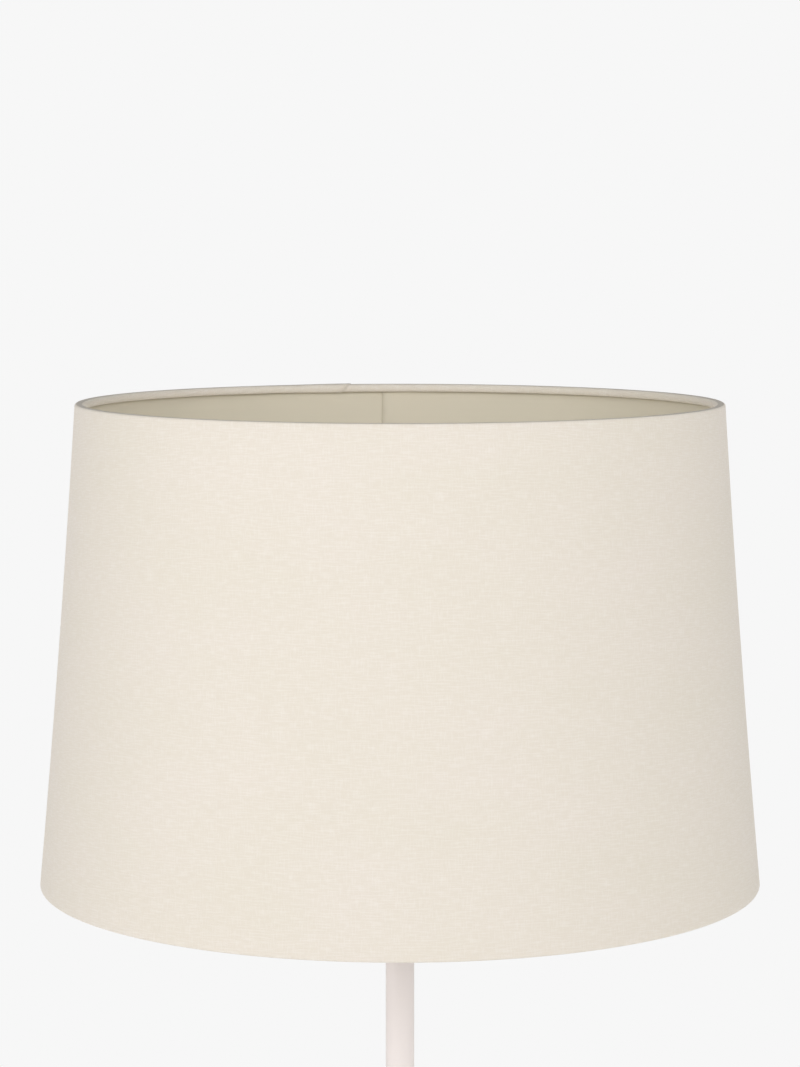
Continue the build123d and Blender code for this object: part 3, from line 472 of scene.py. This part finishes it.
def piece(name, bm, material, body, nodes, sharp=40):
    """Turns a bmesh into a finished piece that rides on a body and stands for CAD nodes. Only edges
    sharper than so many degrees stay hard."""
    bmesh.ops.recalc_face_normals(bm, faces=bm.faces)
    mesh = bpy.data.meshes.new(name)
    bm.to_mesh(mesh)
    bm.free()
    mesh.shade_smooth()
    mesh.set_sharp_from_angle(angle=math.radians(sharp))
    mesh.materials.append(material)
    made = bpy.data.objects.new(name, mesh)
    bpy.context.scene.collection.objects.link(made)
    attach(made, body)
    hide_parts(*nodes)
    return made


def thicken(made, thickness, offset):
    """Gives a single skin its real thickness, to one side of the modelled face."""
    modifier = made.modifiers.new("thickness", "SOLIDIFY")
    modifier.thickness = thickness
    modifier.offset = offset
    modifier.use_even_offset = True


def ease(made, width):
    """Rounds a piece's hard edges."""
    modifier = made.modifiers.new("eased_edges", "BEVEL")
    modifier.width = width
    modifier.segments = EASE_SEGMENTS
    modifier.limit_method = "ANGLE"
    modifier.angle_limit = math.radians(EASE_ANGLE)
    modifier.use_clamp_overlap = True


# -------------------------------------------------------------------------------- the shade's cover
# The cloth is one strip. Across its width it starts tucked behind the bottom wire's roll, goes round
# the wire and up the wall, and ends tucked behind the top wire's roll. Along its length it goes once
# round the shade, and its two ends overlap near the back. Angles round the shade are in degrees from +X.
SEAM = 99.8  # where the outer end lies
OVERLAP = 3.1
LAP_EASE = 14.0  # how far round the cloth takes to settle down beside its outer end
LAP_GAP = 0.04 * MM  # the air between the cloth's two layers
FRONT = 270.0  # the side that faces forwards
SHADE_STEPS = 240
EDGE_ROUNDING = 1.6 * MM
ROUNDING_END = 4  # how far from level a rounding stops, where the wall goes on
TUCK = 35  # where the cloth ends behind a roll, in degrees from level
ROLL_STEPS = 22
ROUNDING_STEPS = 7
WALL_STEPS = 30
# The rolls' thickness wavers round the shade, apart from their crests, which keep the shade's height.
WAVER = 0.09
WAVER_PACE = 5.6
WAVER_APART = 7  # makes the two rolls waver differently
CREST_SHARE = 0.96  # past this share of its radius, a roll keeps its height
# The painted shade along the top rim is a band on the top of its roll.
CROWN_WIDTH = 3.0 * MM
CROWN_FADE = 0.8 * MM
CROWN_OUTWARDS = 0.9 * MM  # from the roll's crest to the middle of the band
# The flat cut is a fan about the cone's apex.
FAN = math.sin(math.atan(TAPER))  # the fan's angle for each radian round the shade
APEX_SLANT = SHADE_BOTTOM_R / FAN


def cover_outline(proud=0.0):
    """The cloth's outer face from tuck to tuck, as (radius, height) points, standing a little proud."""
    low = SHADE_BOTTOM_Z + EDGE_ROUNDING
    high = SHADE_TOP_Z - EDGE_ROUNDING
    heights = [low + (high - low) * i / WALL_STEPS for i in range(1, WALL_STEPS)]
    low_corner = (wall_radius(low) - EDGE_ROUNDING, low)
    high_corner = (wall_radius(high) - EDGE_ROUNDING, high)
    points = arc(BOTTOM_WIRE, ROLL_R + proud, TUCK, 270, ROLL_STEPS)
    points += arc(low_corner, EDGE_ROUNDING + proud, -90, -ROUNDING_END, ROUNDING_STEPS)
    points += [(wall_radius(z) + proud, z) for z in heights]
    points += arc(high_corner, EDGE_ROUNDING + proud, ROUNDING_END, 90, ROUNDING_STEPS)
    points += arc(TOP_WIRE, ROLL_R + proud, 90, 360 - TUCK, ROLL_STEPS)
    return points


def measured(points):
    """How far along an outline each point lies."""
    along = [0.0]
    for first, second in zip(points, points[1:]):
        along.append(along[-1] + math.dist(first, second))
    return along


def eased(share):
    """A smooth fall from 1 to 0 as a share goes from 0 to 1."""
    share = min(max(share, 0), 1)
    return 1 - share * share * (3 - 2 * share)


def wrapped(outline, start, sweep, steps):
    """An open outline turned about the lamp's axis from one place through an angle, both in degrees. Each
    vertex keeps its row in the outline and how far round it has come."""
    bm = bmesh.new()
    row = bm.verts.layers.int.new("row")
    swept = bm.verts.layers.float.new("swept")
    geom = profile(bm, outline, closed=False)
    for number, vert in enumerate(bm.verts):
        vert[row] = number
    facing = Matrix.Rotation(math.radians(start), 3, "Z")
    bmesh.ops.rotate(bm, verts=bm.verts, cent=(0, 0, 0), matrix=facing)
    bmesh.ops.spin(bm, geom=geom, axis=UP, cent=(0, 0, 0), angle=math.radians(sweep), steps=steps)
    for number, vert in enumerate(bm.verts):
        vert[swept] = sweep * (number // len(outline)) / steps
    return bm, row, swept


def make_cover():
    """The cover's cloth, with its flat cut as a UV map in metres, a fan as for any tapered shade. The
    threads run level at the front and lean towards the seam. It comes with the depth of the cut."""
    flat, raised = cover_outline(), cover_outline(CLOTH_T + LAP_GAP)
    along = measured(flat)
    low_crest = ROLL_STEPS
    high_crest = len(flat) - 1 - ROLL_STEPS
    bm, row, swept = wrapped(flat, SEAM, 360 + OVERLAP, SHADE_STEPS)
    # A mask for the painted shade along the top rim's roll.
    painted_shade_band = bm.verts.layers.float.new("painted_shade_band")
    for vert in bm.verts:
        number = vert[row]
        from_crown = abs(along[number] - along[high_crest] + CROWN_OUTWARDS)
        vert[painted_shade_band] = eased((from_crown - CROWN_WIDTH / 2) / CROWN_FADE)
        lift = eased(vert[swept] / LAP_EASE)
        # Past each crest, the outer end is cut on a slant.
        past_crest = max(along[number] - along[high_crest], along[low_crest] - along[number], 0)
        turn = math.radians(SEAM + vert[swept]) + lift * past_crest / SHADE_BOTTOM_R
        radius, height = (a + (b - a) * lift for a, b in zip(flat[number], raised[number]))
        if number <= low_crest or number >= high_crest:
            wire_r, wire_z = BOTTOM_WIRE if number <= low_crest else TOP_WIRE
            place = (math.cos(turn) * WAVER_PACE, math.sin(turn) * WAVER_PACE, wire_z * WAVER_APART)
            waver = 1 + WAVER * noise.noise(Vector(place))
            radius = wire_r + (radius - wire_r) * waver
            if abs(height - wire_z) < ROLL_R * CREST_SHARE:
                height = wire_z + (height - wire_z) * waver
        vert.co = (radius * math.cos(turn), radius * math.sin(turn), height)
    uv = bm.loops.layers.uv.new("cut")
    for face in bm.faces:
        for loop in face.loops:
            turn = math.radians(SEAM + loop.vert[swept] - FRONT) * FAN
            slant = APEX_SLANT - along[loop.vert[row]]
            loop[uv].uv = (slant * math.sin(turn), -slant * math.cos(turn))
    made = piece("shade_cloth", bm, CLOTH, "shade", ["shade_cover"], sharp=80)
    thicken(made, CLOTH_T, -1)
    return made, along[-1]


cover, cut_depth = make_cover()

# --------------------------------------------------------------------------------------- its lining
LINER_SEAM = 93.5  # where the inner end lies
LINER_OVERLAP = 3.6
LINER_EASE = 9.0  # how far round the lining takes to step inwards before its lap
LINER_GAP = 0.1 * MM
LINER_ROWS = 24


def make_liner():
    """The stiff lining: one sheet bent round, whose end laps inside its start."""
    inset = COVER_T + LINER_T + LINER_GAP
    low = SHADE_BOTTOM_Z + COVER_T
    high = SHADE_TOP_Z - COVER_T
    heights = [low + (high - low) * i / LINER_ROWS for i in range(LINER_ROWS + 1)]
    sweep = 360 + LINER_OVERLAP
    outline = [(wall_radius(z) - inset, z) for z in heights]
    bm, _, swept = wrapped(outline, LINER_SEAM - LINER_OVERLAP, sweep, SHADE_STEPS)
    for vert in bm.verts:
        outwards = Vector((vert.co.x, vert.co.y, 0)).normalized()
        lapped = eased((sweep - vert[swept] - LINER_OVERLAP) / LINER_EASE)
        vert.co -= outwards * (LINER_T + LINER_GAP) * lapped
    made = piece("shade_liner", bm, LINER, "shade", ["shade_lining"], sharp=60)
    thicken(made, LINER_T, 1)


make_liner()

# ----------------------------------------------------------------------------------------- the stem
STEM_WALL = 1.0 * MM


def make_stem():
    """The drawn tube between the hub and the lampholder, with its ends eased."""
    low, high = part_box("stem_tube")
    outer = high.x
    inner = outer - STEM_WALL
    points = [(inner, low.z), (outer, low.z), (outer, high.z), (inner, high.z)]
    made = piece("stem", spun(points, TUBE_STEPS), ENAMEL, "root", ["stem_tube"])
    ease(made, 0.3 * MM)


make_stem()

# --------------------------------------------------------------------------------------------- bulb
GLASS_T = 1.4 * MM
GLOBE_STEPS = 28
INNER_RIM = 1.2  # how much sooner the inner skin's arc ends, in degrees
NECK_R = 14.2 * MM
FLARE_STEPS = 16


def opened(share):
    """How far a flare has opened, from 0 at its neck to 1 at its mouth."""
    return share * share * (1.6 - 0.6 * share)


def make_bulb():
    """The opal globe and the moulded housing under it."""
    low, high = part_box("bulb_globe")
    radius = high.x
    centre = (0, high.z - radius)
    rim = math.degrees(math.asin((low.z - centre[1]) / radius))
    outer = arc(centre, radius, rim, 90, GLOBE_STEPS)
    inner = arc(centre, radius - GLASS_T, 90, rim + INNER_RIM, GLOBE_STEPS)
    inner[-1] = (inner[-1][0], low.z)
    piece("bulb_glass", spun(outer + inner, TUBE_STEPS), OPAL, "root", ["bulb_globe"])

    base, top = (corner.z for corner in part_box("bulb_housing"))
    mouth = radius * math.cos(math.radians(rim))
    shares = [i / FLARE_STEPS for i in range(FLARE_STEPS + 1)]
    flare = [(NECK_R + (mouth - NECK_R) * opened(t), base + (top - base) * t) for t in shares]
    housing = spun([(0, base), *flare, (0, top)], TUBE_STEPS)
    made = piece("bulb_body", housing, BULB_WHITE, "root", ["bulb_housing"])
    ease(made, 0.4 * MM)


make_bulb()

# --------------------------------------------------------------------------------------------- legs
mounts = {mount["name"]: Vector(mount["pos_m"]) for mount in frame["record"]["mounts"]}
hinges = {joint["child"]: joint for joint in frame["joints"]}
CUP_END = 72 * MM
SPIGOT_START = 30 * MM
SPIGOT_R = 12.2 * MM
SHAFT_TOP_R = 15 * MM
SHAFT_END_R = 9.5 * MM
SHAFT_TIP_R = 8 * MM
SHAFT_PLAY = 0.1 * MM  # between the shaft and the bracket's cup
SHOULDER_EASE = 0.6 * MM
GRAIN_APART = Vector((0.21, 0.37, 1.9))  # so that no two legs show the same grain
FOOT_R = 11 * MM
FOOT_TOP_R = SHAFT_END_R + 0.8 * MM
FOOT_LENGTH = 26 * MM
FOOT_SOLE = 5 * MM
FOOT_PLAY = 0.05 * MM
GROOVE = 0.6 * MM
GROOVES = (0.22, 0.36)  # where each groove starts, as a share of the foot's length
FOOT_END = 8 * MM  # how far a foot's straight end runs either side of the floor before it is cut level


def leg_matrix(number):
    """What places a leg drawn along -Z from the origin, with its hinge bolt along X, and its length."""
    joint = hinges[f"leg_{number}"]
    pivot = Vector(joint["pos_m"])
    along = pivot - mounts[f"foot_{number}"]
    up = along.normalized()
    bolt = Vector(joint["axis"]).normalized()
    turned = Matrix((bolt, up.cross(bolt), up)).transposed().to_4x4()
    return Matrix.Translation(pivot) @ turned, along.length


def make_shaft(number):
    """A turned beech leg: a spigot in the bracket's cup, a long taper, and a thinner tip for the foot."""
    matrix, reach = leg_matrix(number)
    end = reach - FOOT_SOLE
    shoulder = end - FOOT_LENGTH + FOOT_SOLE
    spigot_top = -SPIGOT_START - SHAFT_PLAY
    shaft_top = -CUP_END - SHAFT_PLAY
    points = [
        (0, spigot_top),
        (SPIGOT_R, spigot_top),
        (SPIGOT_R, shaft_top),
        (SHAFT_TOP_R - SHOULDER_EASE, shaft_top),
        (SHAFT_TOP_R, shaft_top - SHOULDER_EASE),
        (SHAFT_END_R, -shoulder),
        (SHAFT_TIP_R, -shoulder),
        (SHAFT_TIP_R, -end),
        (0, -end),
    ]
    bm = spun(points, LEG_STEPS)
    grain = bm.verts.layers.float_vector.new("grain")
    for vert in bm.verts:
        vert[grain] = vert.co + GRAIN_APART * number
    bmesh.ops.transform(bm, matrix=matrix, verts=bm.verts)
    leg = f"leg_{number}"
    made = piece(f"{leg}_turned", bm, BEECH, leg, [f"{leg}_shaft"])
    ease(made, 0.5 * MM)


def make_foot(number):
    """A rubber foot with two grooves, cut level with the floor."""
    matrix, reach = leg_matrix(number)
    end = reach - FOOT_SOLE
    top = end - FOOT_LENGTH + FOOT_SOLE
    points = [(SHAFT_TIP_R + FOOT_PLAY, -top), (FOOT_TOP_R, -top)]
    for share in GROOVES:
        depth = top + FOOT_LENGTH * share
        radius = FOOT_TOP_R + (FOOT_R - FOOT_TOP_R) * share
        points += [(radius, -depth), (radius - GROOVE, -depth - GROOVE), (radius, -depth - 2 * GROOVE)]
    points += [
        (FOOT_R, -reach + FOOT_END),
        (FOOT_R, -reach - FOOT_END),
        (0, -reach - FOOT_END),
        (0, -end - FOOT_PLAY),
        (SHAFT_TIP_R + FOOT_PLAY, -end - FOOT_PLAY),
    ]
    bm = spun(points, LEG_STEPS)
    bmesh.ops.transform(bm, matrix=matrix, verts=bm.verts)
    whole = [*bm.verts, *bm.edges, *bm.faces]
    cut = bmesh.ops.bisect_plane(bm, geom=whole, plane_co=(0, 0, 0), plane_no=-UP, clear_outer=True)
    rim = [item for item in cut["geom_cut"] if isinstance(item, bmesh.types.BMEdge)]
    bmesh.ops.holes_fill(bm, edges=rim)
    leg = f"leg_{number}"
    made = piece(f"{leg}_rubber_foot", bm, RUBBER, leg, [f"{leg}_foot"])
    ease(made, 0.35 * MM)


for leg_number in (1, 2, 3):
    make_shaft(leg_number)
    make_foot(leg_number)

# ------------------------------------------------------------------------- finishes on CAD's pieces
FINISHES = {
    ENAMEL: [
        "hub_body", "hub_cover_plate", "stem_plug", "leg_1_bracket", "leg_2_bracket", "leg_3_bracket",
    ],
    WIRE_ENAMEL: ["shade_top_ring", "shade_bottom_ring", "shade_fitter_ring", "shade_fitter_arms"],
    HOLDER_WHITE: ["holder_skirt", "holder_cap", "shade_ring_nut", "switch_bar", "switch_knobs"],
    CERAMIC: ["holder_insert"],
    BRASS: ["holder_screw_shell", "holder_contact", "holder_terminals", "terminal_screws"],
    PASSIVATED: ["holder_nipple", "holder_locknut", "stem_set_screw"],
    CORE: ["holder_cores"],
    NICKEL: ["bulb_screw_cap", "bulb_contact"],
    TERMINAL: ["bulb_insulator", "terminal_block"],
    SHEATH: ["stem_flex"],
    NYLON: ["hinge_washers", "cord_gland"],
    ZINC: [
        "hinge_bolts", "hinge_nuts", "hub_cover_screws", "leg_1_screws", "leg_2_screws", "leg_3_screws",
    ],
}
for material, node_names in FINISHES.items():
    for node_name in node_names:
        for material_slot in frame["nodes"][node_name].material_slots:
            material_slot.material = material


# ---------------------------------------------------------------------------------- floor and light
FLOOR_RADIUS = 3.4
FADE_START = 1.1  # how far out the floor starts to fade
FLOOR_COLOUR = linear(244, 244, 244)
FLOOR_GLOW = 0.22
BACKDROP = linear(247, 247, 247)
SURROUND = 0.68
OVERHEAD = 0.1  # how bright the surround is overhead, as a share of its brightness at lamp height
SURROUND_TINT = (1.0, 0.99, 0.985, 1)
SOFTBOX = (1.3, 1.2)
SOFTBOX_AWAY = 3.2
LEVEL = 1.45  # the height of a softbox that is level with the shade
RAISED = 2.45  # and of one above its rim


def make_floor():
    """A plain pale floor that glows a little, fades out towards its rim, and is clear from below."""
    bm = bmesh.new()
    bmesh.ops.create_circle(bm, cap_ends=True, radius=FLOOR_RADIUS, segments=128)
    mesh = bpy.data.meshes.new("floor")
    bm.to_mesh(mesh)
    bm.free()
    floor = bpy.data.objects.new("floor", mesh)
    bpy.context.scene.collection.objects.link(floor)
    finish = Finish("floor", Roughness=0.7, Specular_IOR_Level=0.1, Emission_Strength=FLOOR_GLOW)
    finish.colour(FLOOR_COLOUR)
    tree = finish.tree
    length = tree.nodes.new("ShaderNodeVectorMath")
    length.operation = "LENGTH"
    plug(tree, finish.coordinates(), length.inputs[0])
    fade = ranged(tree, length.outputs["Value"], FADE_START, FLOOR_RADIUS, 1.0, 0.0)
    from_below = tree.nodes.new("ShaderNodeNewGeometry").outputs["Backfacing"]
    from_above = maths(tree, "SUBTRACT", 1.0, from_below)
    plug(tree, maths(tree, "MULTIPLY", fade, from_above), finish.shader.inputs["Alpha"])
    mesh.materials.append(finish.material)


def make_world():
    """The backdrop as the camera sees it, and a soft studio surround as the lamp sees it: bright all
    round at lamp height and dimmer overhead."""
    world = bpy.data.worlds.new("studio")
    bpy.context.scene.world = world
    world.use_nodes = True
    tree = world.node_tree
    tree.nodes.clear()
    place = tree.nodes.new("ShaderNodeTexCoord").outputs["Generated"]
    split = tree.nodes.new("ShaderNodeSeparateXYZ")
    plug(tree, place, split.inputs[0])
    overhead = ranged(tree, split.outputs[2], 0.0, 0.9, 1.0, OVERHEAD)
    surround = tree.nodes.new("ShaderNodeBackground")
    surround.inputs["Color"].default_value = SURROUND_TINT
    plug(tree, maths(tree, "MULTIPLY", overhead, SURROUND), surround.inputs["Strength"])
    backdrop = tree.nodes.new("ShaderNodeBackground")
    backdrop.inputs["Color"].default_value = BACKDROP
    seen = tree.nodes.new("ShaderNodeLightPath").outputs["Is Camera Ray"]
    choose = tree.nodes.new("ShaderNodeMixShader")
    plug(tree, seen, choose.inputs[0])
    plug(tree, surround.outputs[0], choose.inputs[1])
    plug(tree, backdrop.outputs[0], choose.inputs[2])
    output = tree.nodes.new("ShaderNodeOutputWorld")
    plug(tree, choose.outputs[0], output.inputs["Surface"])


def make_softbox(name, azimuth, distance, height, size, power, mirrored=True):
    """A large soft light that faces the shade. Its azimuth is in degrees from the front, positive to the
    right, and its power is in watts. One that isn't mirrored leaves no reflection on gloss."""
    data = bpy.data.lights.new(name, "AREA")
    data.shape = "RECTANGLE"
    data.size, data.size_y = size
    data.energy = power
    light = bpy.data.objects.new(name, data)
    turn = math.radians(azimuth)
    light.location = (distance * math.sin(turn), -distance * math.cos(turn), height)
    shade_middle = Vector((0, 0, (SHADE_BOTTOM_Z + SHADE_TOP_Z) / 2))
    light.rotation_euler = (shade_middle - light.location).to_track_quat("-Z", "Y").to_euler()
    light.visible_camera = False
    light.visible_glossy = mirrored
    bpy.context.scene.collection.objects.link(light)


make_floor()
make_world()
make_softbox("left_side", -75, SOFTBOX_AWAY, LEVEL, SOFTBOX, power=7)
make_softbox("left_low", -50, SOFTBOX_AWAY, LEVEL, SOFTBOX, power=14)
make_softbox("left_front", -25, SOFTBOX_AWAY, RAISED, SOFTBOX, power=21)
make_softbox("right_front", 25, SOFTBOX_AWAY, RAISED, SOFTBOX, power=21)
make_softbox("right_side", 75, SOFTBOX_AWAY, LEVEL, SOFTBOX, power=14)
make_softbox("overhead", 0, distance=0.6, height=4.2, size=(2.4, 2.4), power=18)
make_softbox("behind", 180, SOFTBOX_AWAY, height=1.35, size=(2.6, 1.2), power=42, mirrored=False)

scene = bpy.context.scene
scene.view_settings.view_transform = "Standard"
scene.view_settings.look = "None"
